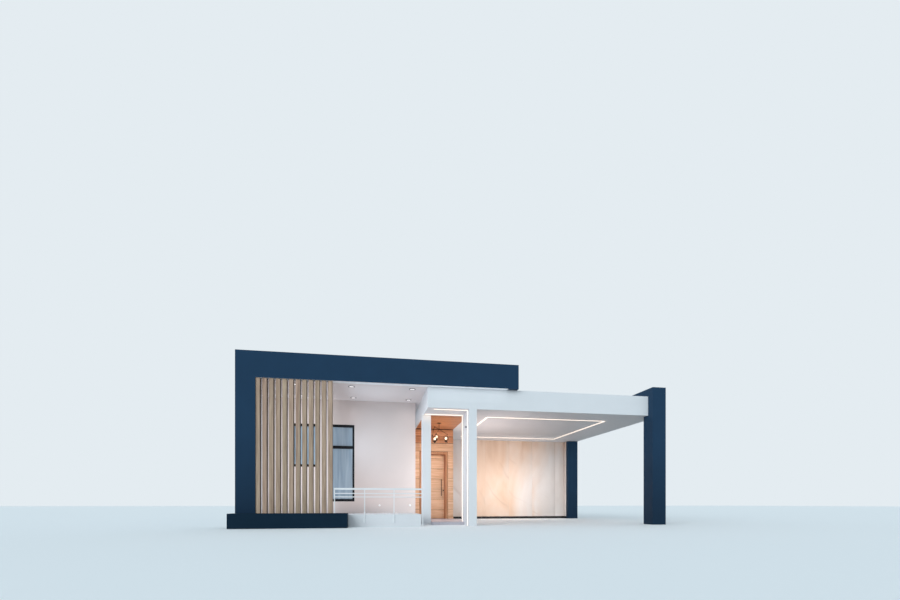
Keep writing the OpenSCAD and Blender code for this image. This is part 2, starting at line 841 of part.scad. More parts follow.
planter_box();
planter_soil();
porch_plinth();
frame_pier();
frame_band();
timber_slats();
porch_railing();
left_wall();
front_wall();
window_frames();
window_glass();
porch_downlights();
low_wall_lights();
high_roof_slab();
roof_parapets();
roof_step_wall();
recess_side_wall();
door_wall_left();
door_wall_right();
door_wall_over();
timber_cladding();
door_frame();
front_door();
door_handles();
door_hinge_knuckles();
door_hinge_pins();
entry_floor();
timber_ceiling();
pendant_lamp();
lamp_globes();
portal_left_post();
portal_right_post();
portal_side_fascia();
portal_front_fascia();
plaster_soffit();
led_strips();
low_roof_slab();
carport_columns();
carport_side_beam();
carport_back_wall();
marble_cladding();
marble_skirting();
carport_side_wall();
wing_side_wall();
rear_wall();
interior_floor();
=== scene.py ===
"""Looks of the bungalow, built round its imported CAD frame. Metres: X right, Y to the rear, Z up."""

import math
import random

import bmesh
import bpy
from mathutils import Matrix, Vector


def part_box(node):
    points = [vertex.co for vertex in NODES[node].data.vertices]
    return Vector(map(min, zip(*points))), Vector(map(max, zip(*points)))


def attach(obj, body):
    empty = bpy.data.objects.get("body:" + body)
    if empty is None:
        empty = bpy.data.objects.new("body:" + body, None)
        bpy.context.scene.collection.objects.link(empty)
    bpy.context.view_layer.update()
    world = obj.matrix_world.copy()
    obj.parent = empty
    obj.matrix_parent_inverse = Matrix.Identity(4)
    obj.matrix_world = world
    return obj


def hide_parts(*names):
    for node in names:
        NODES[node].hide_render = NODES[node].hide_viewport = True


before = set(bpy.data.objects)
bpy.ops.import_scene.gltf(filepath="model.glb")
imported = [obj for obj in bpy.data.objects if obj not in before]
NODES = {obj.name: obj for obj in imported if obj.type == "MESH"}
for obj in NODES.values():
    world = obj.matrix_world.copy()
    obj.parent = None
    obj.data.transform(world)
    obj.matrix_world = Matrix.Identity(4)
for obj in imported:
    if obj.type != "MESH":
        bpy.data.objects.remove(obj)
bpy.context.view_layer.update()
HOUSE = "house"
DOOR = "door"
RANDOM = random.Random(7)


# Places from the frame

def low(node):
    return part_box(node)[0]


def high(node):
    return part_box(node)[1]


def levels(node, axis):
    """The different places of a node's corners along one axis, lowest first."""
    return sorted({round(vertex.co[axis], 4) for vertex in NODES[node].data.vertices})


LEFT_X = low("left_wall").x
FRONT_Y = low("frame_band").y


# Camera

PHOTO_WIDTH = 900
LENS_MM = 18
SENSOR_MM = 36
FOCAL_PIXELS = PHOTO_WIDTH * LENS_MM / SENSOR_MM
HORIZON_BELOW_MIDDLE = 204
VANISHING_POINT_ASIDE = 79
CAMERA_FROM_LEFT_SIDE = 3.214
CAMERA_TO_FRONT = 11.52
EYE_HEIGHT = 0.58


def make_camera():
    """The photo's camera. The horizon and the vanishing point are given in pixels of the photo."""
    data = bpy.data.cameras.new("camera")
    data.lens = LENS_MM
    data.sensor_width = SENSOR_MM
    data.shift_y = HORIZON_BELOW_MIDDLE / PHOTO_WIDTH
    camera = bpy.data.objects.new("camera", data)
    camera.location = (LEFT_X + CAMERA_FROM_LEFT_SIDE, FRONT_Y - CAMERA_TO_FRONT, EYE_HEIGHT)
    turn = math.atan2(VANISHING_POINT_ASIDE, FOCAL_PIXELS)
    camera.rotation_euler = (math.radians(90), 0, -turn)
    bpy.context.scene.collection.objects.link(camera)
    bpy.context.scene.camera = camera


# Colours

def srgb(*values):
    """Linear colour from the 0 to 255 values a picture shows."""
    return tuple((v / 255 / 12.92) if v <= 10.3 else ((v / 255 + 0.055) / 1.055) ** 2.4 for v in values)


def shade(colour, factor):
    return tuple(c * factor for c in colour)


def opaque(colour):
    """A plain colour with its alpha; a socket stays as it is."""
    return colour if isinstance(colour, bpy.types.NodeSocket) else (*colour, 1)


# Ways to make materials

# The Mix node's sockets in its colour mode: factor, first and second colour, and result
MIX_INPUTS = (0, 6, 7)
MIX_OUTPUT = 2


class Material:
    """A Principled material with short ways to add and wire nodes."""

    def __init__(self, name, roughness, **sockets):
        self.data = bpy.data.materials.new(name)
        self.data.use_nodes = True
        self.tree = self.data.node_tree
        self.shader = self.tree.nodes["Principled BSDF"]
        self.set(self.shader, {"Roughness": roughness, **sockets})
        self.place = self.node("ShaderNodeTexCoord").outputs["Object"]

    def set(self, node, sockets):
        """Wires or sets inputs, which are given by name or by number."""
        for name, value in sockets.items():
            if isinstance(value, bpy.types.NodeSocket):
                self.tree.links.new(value, node.inputs[name])
            else:
                node.inputs[name].default_value = value

    def node(self, kind, sockets=None, **settings):
        node = self.tree.nodes.new(kind)
        for name, value in settings.items():
            setattr(node, name, value)
        self.set(node, sockets or {})
        return node

    def mapped(self, vector, turn=(0, 0, 0), scale=(1, 1, 1)):
        """Places turned and stretched."""
        sockets = {"Vector": vector, "Rotation": turn, "Scale": scale}
        return self.node("ShaderNodeMapping", sockets).outputs["Vector"]

    def shifted(self, own, **factors):
        """Places moved by a factor for each axis times each island's own number, so that no two boards or
        slabs show the same stretch of the pattern."""
        offset = self.node("ShaderNodeCombineXYZ", {
            axis: self.times(own, factor) for axis, factor in factors.items()})
        sockets = {0: self.place, 1: offset.outputs["Vector"]}
        return self.node("ShaderNodeVectorMath", sockets, operation="ADD").outputs["Vector"]

    def noise(self, scale, detail=4.0, rough=0.55, where=None, distortion=0.0):
        return self.node("ShaderNodeTexNoise", {
            "Vector": where or self.place, "Scale": scale, "Detail": detail, "Roughness": rough,
            "Distortion": distortion}).outputs["Fac"]

    def bricks(self, colour, contrast, joint_shade, joint, soft, width, height, offset):
        """Rows of tiles or sheets in plan, in two shades, with darker joints."""
        return self.node("ShaderNodeTexBrick", {
            "Vector": self.place, "Scale": 1.0, "Color1": opaque(shade(colour, 1 - contrast)),
            "Color2": opaque(shade(colour, 1 + contrast)), "Mortar": opaque(shade(colour, joint_shade)),
            "Mortar Size": joint, "Mortar Smooth": soft, "Brick Width": width, "Row Height": height,
        }, offset=offset).outputs

    def ramp(self, value, *stops):
        """Colours between stops of (place, colour)."""
        node = self.node("ShaderNodeValToRGB", {"Fac": value})
        elements = node.color_ramp.elements
        while len(elements) < len(stops):
            elements.new(1.0)
        for element, (place, colour) in zip(elements, stops):
            element.position = place
            element.color = opaque(colour)
        return node.outputs["Color"]

    def mask(self, value, start, end):
        """0 up to the start and 1 from the end on."""
        return self.ramp(value, (start, (0, 0, 0)), (end, (1, 1, 1)))

    def patchy(self, value, colour, patch):
        """A colour that is a little darker and lighter from place to place."""
        return self.ramp(value, (0.3, shade(colour, 1 - patch)), (0.7, shade(colour, 1 + patch)))

    def mix(self, amount, first, second, blend="MIX"):
        sockets = dict(zip(MIX_INPUTS, (amount, opaque(first), opaque(second))))
        return self.node("ShaderNodeMix", sockets, data_type="RGBA", blend_type=blend).outputs[MIX_OUTPUT]

    def maths(self, operation, first, second):
        return self.node("ShaderNodeMath", {0: first, 1: second}, operation=operation).outputs[0]

    def times(self, first, second):
        return self.maths("MULTIPLY", first, second)

    def plus(self, first, second):
        return self.maths("ADD", first, second)

    def spread(self, value, low_end, high_end):
        node = self.node("ShaderNodeMapRange", {"Value": value, "To Min": low_end, "To Max": high_end})
        return node.outputs["Result"]

    def spread_from(self, value, from_end, to_end):
        """0 at one end of a stretch and 1 at the other."""
        node = self.node("ShaderNodeMapRange", {"Value": value, "From Min": from_end, "From Max": to_end})
        return node.outputs["Result"]

    def colour(self, value):
        self.set(self.shader, {"Base Color": opaque(value)})

    def rough(self, value):
        self.set(self.shader, {"Roughness": value})

    def bump(self, height, strength, distance):
        node = self.node("ShaderNodeBump", {"Height": height, "Strength": strength, "Distance": distance})
        self.set(self.shader, {"Normal": node.outputs["Normal"]})

    def axis(self, vector, name):
        return self.node("ShaderNodeSeparateXYZ", {"Vector": vector}).outputs[name]

    def facing(self, name):
        """How far each face is turned along an axis, from -1 to 1."""
        return self.axis(self.node("ShaderNodeNewGeometry").outputs["Normal"], name)

    def island(self):
        return self.node("ShaderNodeNewGeometry").outputs["Random Per Island"]


# A face is an underside when its normal's Z is below this
UNDERSIDE = -0.7

# A wall's foot is fully darkened below the first height and not at all above the second: painted shade
# near the ground
FOOT_SHADE_HEIGHTS = (0.25, 2.375)
FOOT_SHADE_SCALE = 0.4


def render_paint(name, colour, patch, sheen=0.3, underside_light=None, underside_end=0.0, foot=1.0):
    """Painted render: faint roller patches and fine grain. Undersides may take a colour of painted light
    as far as one X, and the foot may be darker towards the ground as painted shade."""
    m = Material(name, roughness=0.6, **{"Specular IOR Level": sheen})
    fine = m.noise(scale=90, detail=3, rough=0.7)
    paint = m.patchy(m.noise(scale=1.7, detail=5), colour, patch)
    # Undersides take their own colour of painted light
    if underside_light:
        looks_down = m.maths("LESS_THAN", m.facing("Z"), UNDERSIDE)
        before_end = m.maths("LESS_THAN", m.axis(m.place, "X"), underside_end)
        paint = m.mix(m.times(looks_down, before_end), paint, underside_light)
    # The foot darker towards the ground: painted shade
    if foot < 1:
        height = m.times(m.axis(m.place, "Z"), FOOT_SHADE_SCALE)
        shaded_height, lit_height = [FOOT_SHADE_SCALE * each for each in FOOT_SHADE_HEIGHTS]
        painted_foot_shade = m.ramp(height, (shaded_height, (foot, foot, foot)), (lit_height, (1, 1, 1)))
        paint = m.mix(1.0, paint, painted_foot_shade, "MULTIPLY")
    m.colour(paint)
    m.rough(m.spread(fine, 0.5, 0.68))
    grain = m.plus(m.times(fine, 0.35), m.noise(scale=22, detail=2))
    m.bump(grain, strength=0.25, distance=0.002)
    return m.data


# Scales of the wood's fibres and rings, across and along the boards
FIBRE_ACROSS = 95.0
FIBRE_ALONG = 3.0
RING_ACROSS = 16.0
RING_ALONG = 0.7


def timber(name, dark, middle, light, along, gloss=0.42, tone=0.16, tints=None, sides=1.0):
    """Boards with grain along one axis, in three colours of 0 to 255; each board has its own tone and its
    own stretch of grain. Faces that look left and right may be darkened as painted shade."""
    m = Material(name, roughness=gloss)
    fine = [FIBRE_ACROSS] * 3
    fine[along] = FIBRE_ALONG
    broad = [RING_ACROSS] * 3
    broad[along] = RING_ALONG
    own = m.island()
    where = m.shifted(own, X=37.0, Y=53.0, Z=71.0)
    streaks = m.noise(scale=1.0, detail=6, rough=0.6, where=m.mapped(where, scale=fine))
    rings = m.noise(scale=1.0, detail=3, rough=0.5, where=m.mapped(where, scale=broad), distortion=1.2)
    grain = m.plus(m.times(streaks, 0.45), m.times(rings, 0.55))
    wood = m.ramp(grain, (0.34, srgb(*dark)), (0.5, srgb(*middle)), (0.66, srgb(*light)))
    tints = tints or ((1 - tone, 1 - tone * 1.15, 1 - tone * 1.3), (1, 1, 1),
                      (1 + tone * 0.7, 1 + tone * 0.55, 1 + tone * 0.4))
    shades = m.ramp(own, *[(index / (len(tints) - 1), tint) for index, tint in enumerate(tints)])
    wood = m.mix(1.0, wood, shades, "MULTIPLY")
    # Faces that look left and right darkened by the sides factor: painted shade
    if sides < 1:
        across = m.facing("X")
        is_shaded_side = m.maths("GREATER_THAN", m.times(across, across), 0.5)
        wood = m.mix(is_shaded_side, wood, m.mix(1.0, wood, (sides, sides, sides), "MULTIPLY"))
    m.colour(wood)
    m.rough(m.spread(streaks, gloss - 0.08, gloss + 0.14))
    m.bump(grain, strength=0.35, distance=0.0012)
    return m.data


# Deep, peach, cream and brown are the stone's colours under a painted pool of warm light; stone and pearl
# are its greys outside it
MARBLE_DEEP = srgb(220, 184, 156)
MARBLE_PEACH = srgb(236, 204, 180)
MARBLE_CREAM = srgb(240, 214, 194)
MARBLE_BROWN = srgb(216, 174, 142)
MARBLE_STONE = srgb(214, 200, 192)
MARBLE_PEARL = srgb(236, 228, 224)
MARBLE_VEIN = srgb(166, 130, 108)

# Stretches of the wall over which the painted pool of warm light fades and the marble turns grey: to the
# left, to the right and downward
MARBLE_LEFT = levels("marble_cladding", 0)[0]
MARBLE_RIGHT = levels("marble_cladding", 0)[-1]
MARBLE_TOP = high("marble_cladding").z
LIGHT_FADES_LEFTWARD = (MARBLE_LEFT + 1.1, MARBLE_LEFT + 0.7)
LIGHT_FADES_RIGHTWARD = (MARBLE_LEFT + 0.4 * (MARBLE_RIGHT - MARBLE_LEFT), MARBLE_RIGHT - 0.5)
LIGHT_FADES_DOWNWARD = (MARBLE_TOP, MARBLE_TOP - 1.4)


def marble_stone():
    """Polished marble with a few thin veins. A painted pool of warm light makes its upper middle peach,
    with brown fingers from the top; outside that painted light the stone is grey, at both ends and lower
    down."""
    m = Material("marble", roughness=0.08, **{"Coat Weight": 0.5, "Coat Roughness": 0.03})
    where = m.shifted(m.island(), X=1.7, Z=2.3)
    slanted = m.mapped(where, turn=(0, 0.5, 0), scale=(1.0, 1.0, 0.4))
    clouds = m.noise(scale=0.9, detail=6, rough=0.5, where=slanted, distortion=0.6)
    peach = m.ramp(clouds, (0.3, MARBLE_DEEP), (0.5, MARBLE_PEACH), (0.7, MARBLE_CREAM))
    grey = m.ramp(clouds, (0.3, MARBLE_STONE), (0.7, MARBLE_PEARL))

    # Where the painted pool of warm light fades to grey
    rightward = m.spread_from(m.axis(m.place, "X"), *LIGHT_FADES_RIGHTWARD)
    downward = m.spread_from(m.axis(m.place, "Z"), *LIGHT_FADES_DOWNWARD)
    leftward = m.spread_from(m.axis(m.place, "X"), *LIGHT_FADES_LEFTWARD)
    drift = m.times(m.maths("SUBTRACT", clouds, 0.5), 1.6)
    deeper = m.plus(m.times(downward, 0.7), m.times(rightward, 0.65))
    lower_right = m.times(rightward, deeper)
    fade = m.plus(m.maths("MAXIMUM", lower_right, leftward), drift)
    outside_painted_light = m.mask(fade, 0.1, 0.9)

    # Brown fingers from the top: painted warm light from the ceiling
    painted_light_streaks = m.noise(scale=1.0, detail=3, where=m.mapped(m.place, scale=(2.6, 2.6, 0.3)), distortion=0.4)
    fingers = m.times(m.mask(painted_light_streaks, 0.48, 0.66), m.maths("SUBTRACT", 1.0, downward))
    browner = m.mix(m.times(fingers, 0.6), peach, MARBLE_BROWN)
    body = m.mix(outside_painted_light, browner, grey)

    cracks = m.node("ShaderNodeTexWave", {
        "Vector": m.mapped(where, turn=(0, 0.9, 0)), "Scale": 0.3, "Distortion": 7.0, "Detail": 3.0,
        "Detail Scale": 0.9, "Detail Roughness": 0.6,
    }, wave_type="BANDS", bands_direction="X").outputs["Fac"]
    line = m.ramp(cracks, (0.0, (1, 1, 1)), (0.015, (0.35, 0.35, 0.35)), (0.045, (0, 0, 0)))
    fading = m.mask(m.noise(scale=0.7, detail=2, where=slanted), 0.5, 0.66)
    vein = m.times(m.times(line, fading), 0.22)
    m.colour(m.mix(vein, body, MARBLE_VEIN))
    m.rough(m.spread(m.noise(scale=30), 0.05, 0.11))
    return m.data


def plain_metal(name, colour, roughness, metallic=0.0, patch=0.1):
    """Coated or worked metal with a fine surface and faint patches."""
    m = Material(name, roughness=roughness, Metallic=metallic)
    fine = m.noise(scale=160, detail=3)
    m.colour(m.patchy(m.noise(scale=6, detail=3), colour, patch))
    m.rough(m.spread(fine, roughness - 0.06, roughness + 0.08))
    m.bump(fine, strength=0.06, distance=0.0006)
    return m.data


def floor_tiles():
    """Honed square stone tiles with thin joints."""
    m = Material("grey_tiles", roughness=0.4)
    colour = srgb(192, 187, 196)
    tiles = m.bricks(colour, contrast=0.06, joint_shade=0.55, joint=0.003, soft=0.3, width=0.6, height=0.6,
                     offset=0.0)
    specks = m.noise(scale=60, detail=6, rough=0.7)
    speckled = m.ramp(specks, (0.35, shade(colour, 0.75)), (0.65, shade(colour, 1.2)))
    m.colour(m.mix(0.35, tiles["Color"], speckled))
    m.rough(m.spread(specks, 0.3, 0.5))
    m.bump(m.times(tiles["Fac"], -1.0), strength=0.5, distance=0.002)
    return m.data


def roof_membrane():
    """Pale welded sheets with lap seams."""
    m = Material("roof_membrane", roughness=0.75)
    colour = srgb(176, 178, 178)
    sheets = m.bricks(colour, contrast=0.04, joint_shade=0.8, joint=0.02, soft=0.6, width=12.0,
                      height=1.05, offset=0.35)
    stain = m.noise(scale=0.9, detail=7, rough=0.6)
    stained = m.ramp(stain, (0.35, shade(colour, 0.72)), (0.65, shade(colour, 1.1)))
    m.colour(m.mix(0.4, sheets["Color"], stained))
    relief = m.plus(m.times(sheets["Fac"], 0.6), m.noise(scale=45))
    m.bump(relief, strength=0.3, distance=0.003)
    return m.data


def garden_soil():
    m = Material("soil", roughness=0.95)
    crumbs = m.noise(scale=70, detail=8, rough=0.75)
    m.colour(m.ramp(crumbs, (0.35, srgb(38, 26, 18)), (0.65, srgb(96, 70, 50))))
    m.bump(crumbs, strength=0.9, distance=0.01)
    return m.data


def window_glass():
    """Glass with the pale upright streaks that the photo shows in it."""
    m = Material("window_glass", roughness=0.03, Alpha=0.8, **{"Specular IOR Level": 0.9})
    haze = m.noise(scale=1.2, detail=3, where=m.mapped(m.place, scale=(6.0, 6.0, 0.35)))
    m.colour(m.ramp(haze, (0.35, srgb(148, 171, 192)), (0.65, srgb(186, 207, 224))))
    return m.data


def glowing(name, colour, strength, base):
    """A lit cover; base is its own colour."""
    m = Material(name, roughness=0.35, **{"Emission Color": opaque(colour), "Emission Strength": strength})
    m.colour(m.ramp(m.noise(scale=40, detail=2), (0.4, shade(base, 0.96)), (0.6, base)))
    return m.data


def clear_globe():
    """Bronze-tinted glass, clear in the middle and darker where the ball curves away."""
    m = Material("clear_globe", roughness=0.02, **{"Specular IOR Level": 0.9})
    m.colour(m.ramp(m.noise(scale=9), (0.4, srgb(92, 62, 42)), (0.6, srgb(120, 84, 58))))
    rim = m.node("ShaderNodeLayerWeight", {"Blend": 0.5}).outputs["Facing"]
    m.set(m.shader, {"Alpha": m.ramp(rim, (0.35, (0.10, 0.10, 0.10)), (0.85, (0.75, 0.75, 0.75)))})
    return m.data


# Materials of the house

WHITE = srgb(226, 228, 232)
NAVY = srgb(30, 58, 84)
PAINT_WHITE = render_paint("white_render", WHITE, patch=0.015)
# The front wall in the porch: the white render made warmer as painted warm porch light
PAINT_PORCH_WARM_LIT = render_paint("porch_render_warm_lit", srgb(225, 214, 211), patch=0.015)
# Its undersides, the soffits, are tinted pink: painted warm light
PAINT_ROOF_SLAB = render_paint("roof_slab_render", WHITE, patch=0.015, underside_light=srgb(226, 221, 222),
                               underside_end=high("high_roof_slab").x)
# Navy render, darker towards the ground as painted shade
PAINT_NAVY = render_paint("navy_render", NAVY, patch=0.05, sheen=0.15, foot=0.6)
# The planter's navy is darker than the frame's: painted shade from the dark ground
PAINT_PLANTER_SHADED = render_paint("planter_render_shaded", srgb(14, 37, 54), patch=0.08, sheen=0.12)
# The band's underside is white paint made brighter than the white render: painted light from below
PAINT_BAND = render_paint("navy_band_render", NAVY, patch=0.05, sheen=0.15, underside_light=srgb(242, 245, 250),
                          underside_end=low("roof_step_wall").x)

SLAT_TINTS = ((0.98, 1.01, 0.97), (1.03, 0.96, 0.97), (0.93, 0.96, 0.93), (1.02, 1.01, 1.0),
              (0.98, 0.90, 0.91), (1.01, 1.02, 0.97))
# The slats' side faces are darkened to half as painted shade between the slats
SLAT_WOOD = timber("slat_wood", (139, 116, 98), (174, 150, 130), (197, 173, 152), along=2, gloss=0.55,
                   tints=SLAT_TINTS, sides=0.5)
ENTRY_WOOD = timber("entry_wood", (198, 149, 113), (224, 179, 145), (240, 202, 172), along=0, tone=0.08)
CEILING_WOOD = timber("ceiling_wood", (150, 92, 60), (192, 130, 92), (210, 154, 116), along=0)
# Darker wood for the boards above the cladding's shadow joint: partly their own tone and partly painted
# shade under the ceiling
UPPER_WOOD = timber("upper_wood", (164, 104, 68), (204, 142, 102), (222, 168, 128), along=0)
# Darker wood for the frame's stop and lining inside the door's reveal: partly the wood's own tone and
# partly painted shade of the reveal
JAMB_WOOD = timber("jamb_wood", (128, 74, 44), (164, 104, 68), (188, 128, 88), along=2)
CASING_WOOD = timber("casing_wood", (160, 108, 76), (190, 136, 100), (208, 156, 120), along=2, tone=0.04)
SHADOW_WOOD = timber("shadow_wood", (44, 26, 16), (62, 38, 24), (78, 48, 30), along=0, tone=0.04)
MARBLE = marble_stone()
BLACK_METAL = plain_metal("black_metal", srgb(12, 18, 26), roughness=0.38, metallic=0.3)
WHITE_METAL = plain_metal("white_metal", srgb(236, 238, 241), roughness=0.35, patch=0.02)
GREY_METAL = plain_metal("grey_metal", srgb(118, 118, 122), roughness=0.35, metallic=0.6)
SENSOR_GREY = plain_metal("sensor_grey", srgb(146, 146, 152), roughness=0.4)
STEEL = plain_metal("steel", srgb(178, 176, 172), roughness=0.3, metallic=1.0)
BRONZE = plain_metal("bronze", srgb(48, 30, 20), roughness=0.4, metallic=0.3)
TILES = floor_tiles()
MEMBRANE = roof_membrane()
SOIL = garden_soil()
GLASS = window_glass()
# Dark stone for the recessed skirting at the marble's foot: partly its own dark stone and partly painted
# shade of the recess
DARK_STONE = plain_metal("dark_stone", srgb(34, 30, 30), roughness=0.2)
STRIP_LIGHT = glowing("strip_light", srgb(255, 232, 210), strength=1.6, base=(0.5, 0.48, 0.45))
LAMP_LIGHT = glowing("lamp_light", srgb(255, 232, 190), strength=1.2, base=(0.9, 0.88, 0.85))
SPOT_LIGHT = glowing("spot_light", srgb(250, 244, 246), strength=0.9, base=(0.4, 0.4, 0.4))
GLOBE = clear_globe()


# Making pieces

# The narrowest board that may end a row
NARROWEST_BOARD = 0.02
FINE_BEVEL = 0.001


def solids(node):
    """Boxes of the separate solids of a CAD node, from left to right."""
    mesh = NODES[node].data
    spots = {}
    keys = [spots.setdefault(tuple(round(c, 5) for c in v.co), len(spots)) for v in mesh.vertices]
    parent = list(range(len(spots)))

    def root(index):
        while parent[index] != index:
            parent[index] = parent[parent[index]]
            index = parent[index]
        return index

    for polygon in mesh.polygons:
        first = root(keys[polygon.vertices[0]])
        for vertex in polygon.vertices[1:]:
            parent[root(keys[vertex])] = first
    groups = {}
    for spot, index in spots.items():
        groups.setdefault(root(index), []).append(spot)
    boxes = [(Vector(map(min, *group)), Vector(map(max, *group))) for group in groups.values()]
    return sorted(boxes, key=lambda box: (round(box[0].x, 3), round(box[0].y, 3), box[0].z))


def add_piece(name, build, material, body=HOUSE, replaced=None, sharp=35):
    """One piece of the house or the door, from a function that fills a bmesh. Edges that turn by more
    degrees than sharp stay sharp. The material may be a tuple of several."""
    bm = bmesh.new()
    build(bm)
    bmesh.ops.recalc_face_normals(bm, faces=bm.faces)
    for face in bm.faces:
        face.smooth = True
    for edge in bm.edges:
        edge.smooth = len(edge.link_faces) == 2 and edge.calc_face_angle(0) < math.radians(sharp)
    mesh = bpy.data.meshes.new(name)
    bm.to_mesh(mesh)
    bm.free()
    for each in material if isinstance(material, tuple) else (material,):
        mesh.materials.append(each)
    piece = bpy.data.objects.new(name, mesh)
    bpy.context.scene.collection.objects.link(piece)
    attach(piece, body)
    if replaced:
        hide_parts(replaced)


def add_block(bm, lowest, highest, bevel):
    """A block with rounded edges."""
    size = [b - a for a, b in zip(lowest, highest)]
    middle = [(a + b) / 2 for a, b in zip(lowest, highest)]
    place = Matrix.Translation(middle) @ Matrix.Diagonal((*size, 1))
    corners = bmesh.ops.create_cube(bm, size=1, matrix=place)["verts"]
    edges = list({edge for corner in corners for edge in corner.link_edges})
    bmesh.ops.bevel(bm, geom=edges, offset=min(bevel, min(size) * 0.4), segments=2, profile=0.5,
                    affect="EDGES", clamp_overlap=True)


def add_blocks(name, boxes, bevel, material, body=HOUSE, replaced=None):
    def build(bm):
        for lowest, highest in boxes:
            add_block(bm, lowest, highest, bevel)
    add_piece(name, build, material, body, replaced)


def add_turned(bm, middle, profile, facing="up", segments=32, material=0):
    """A turned shape: profile holds (radius, distance) pairs along the way it faces. A radius of 0 is a
    single point on the axis."""
    turn = {"up": Matrix.Identity(4), "down": Matrix.Rotation(math.pi, 4, "X"),
            "front": Matrix.Rotation(math.pi / 2, 4, "X"),
            "left": Matrix.Rotation(-math.pi / 2, 4, "Y")}[facing]
    place = Matrix.Translation(middle) @ turn
    rings = []
    for radius, along in profile:
        count = segments if radius > 1e-5 else 1
        angles = [2 * math.pi * i / segments for i in range(count)]
        rings.append([bm.verts.new(place @ Vector((radius * math.cos(a), radius * math.sin(a), along)))
                      for a in angles])
    for one, two in zip(rings, rings[1:]):
        for i in range(segments):
            corners = [one[i % len(one)], one[(i + 1) % segments % len(one)],
                       two[(i + 1) % segments % len(two)], two[i % len(two)]]
            corners = [corner for k, corner in enumerate(corners) if corner not in corners[:k]]
            if len(corners) > 2:
                bm.faces.new(corners).material_index = material


def sized(profile, radius, depth):
    """A profile given in shares of a radius and a depth, in metres."""
    return [(across * radius, along * depth) for across, along in profile]


def egg_profile(radius, height, step):
    """Half an outline of a ball or egg round its middle, with a point at every step of degrees."""
    return [(radius * math.sin(math.radians(d)), -height * math.cos(math.radians(d)))
            for d in range(0, 181, step)]


def rows(lowest, highest, pitch, joint=0.0, offset=0.0):
    """Spans of boards that fill a stretch, each short of the next by the joint."""
    edges = [lowest]
    step = lowest + offset if offset > NARROWEST_BOARD else lowest + pitch
    while step < highest - NARROWEST_BOARD:
        edges.append(step)
        step += pitch
    edges.append(highest)
    return [(a + joint / 2 * (a > lowest), b - joint / 2 * (b < highest))
            for a, b in zip(edges, edges[1:])]


# Finishes of the CAD nodes; the others are painted white

FINISHES = {
    "planter_box": PAINT_PLANTER_SHADED, "planter_soil": SOIL, "frame_pier": PAINT_NAVY, "frame_band": PAINT_BAND,
    "timber_slats": SLAT_WOOD, "porch_railing": WHITE_METAL, "front_wall": PAINT_PORCH_WARM_LIT,
    "window_frames": BLACK_METAL, "window_glass": GLASS, "porch_downlights": WHITE_METAL,
    "low_wall_lights": WHITE_METAL, "high_roof_slab": PAINT_ROOF_SLAB, "timber_cladding": ENTRY_WOOD,
    "door_frame": JAMB_WOOD, "front_door": ENTRY_WOOD, "door_handles": BRONZE,
    "door_hinge_knuckles": STEEL, "door_hinge_pins": STEEL, "entry_floor": TILES,
    "timber_ceiling": CEILING_WOOD, "pendant_lamp": BRONZE, "lamp_globes": GLOBE,
    "led_strips": STRIP_LIGHT, "low_roof_slab": MEMBRANE, "carport_columns": PAINT_NAVY,
    "carport_side_beam": PAINT_NAVY, "marble_cladding": MARBLE, "marble_skirting": DARK_STONE,
    "interior_floor": TILES,
}

# Nodes with softened edges, and how far each edge is rounded
SOFTENED = {
    "timber_slats": 0.005, "planter_box": 0.006, "portal_left_post": 0.004, "porch_railing": 0.003,
    "window_frames": 0.003, "porch_plinth": 0.005, "marble_skirting": 0.003,
}
WELD_DISTANCE = 0.00005
SOFTENED_FROM_DEGREES = 40


def dress_nodes():
    for name, node in NODES.items():
        node.data.materials.clear()
        node.data.materials.append(FINISHES.get(name, PAINT_WHITE))
    for name, width in SOFTENED.items():
        weld = NODES[name].modifiers.new("weld", "WELD")
        weld.merge_threshold = WELD_DISTANCE
        bevel = NODES[name].modifiers.new("bevel", "BEVEL")
        bevel.width = width
        bevel.segments = 2
        bevel.limit_method = "ANGLE"
        bevel.angle_limit = math.radians(SOFTENED_FROM_DEGREES)


# Timber

BOARD_H = 0.345
BOARD_JOINT = 0.006
BOARD_BEVEL = 0.003
FIRST_JOINT_Z = 0.40
UPPER_BOARDS = 2
CEILING_BOARD_W = 0.145
CEILING_JOINT = 0.004
BACKING_T = 0.003
SHADOW_GAP = 0.014
SHADOW_STRIP_PROUD = 0.002
CORNER_BATTEN = 0.018
DOOR_BEVEL = 0.004
CORE_INSET = Vector((0.004, 0.008, 0.004))
CORE_BEVEL = 0.002


def board_rows(lowest, highest):
    """Board spans whose joints run on at the same heights over the cladding and the door."""
    offset = (FIRST_JOINT_Z - lowest) % BOARD_H
    return rows(lowest, highest, BOARD_H, BOARD_JOINT, offset)


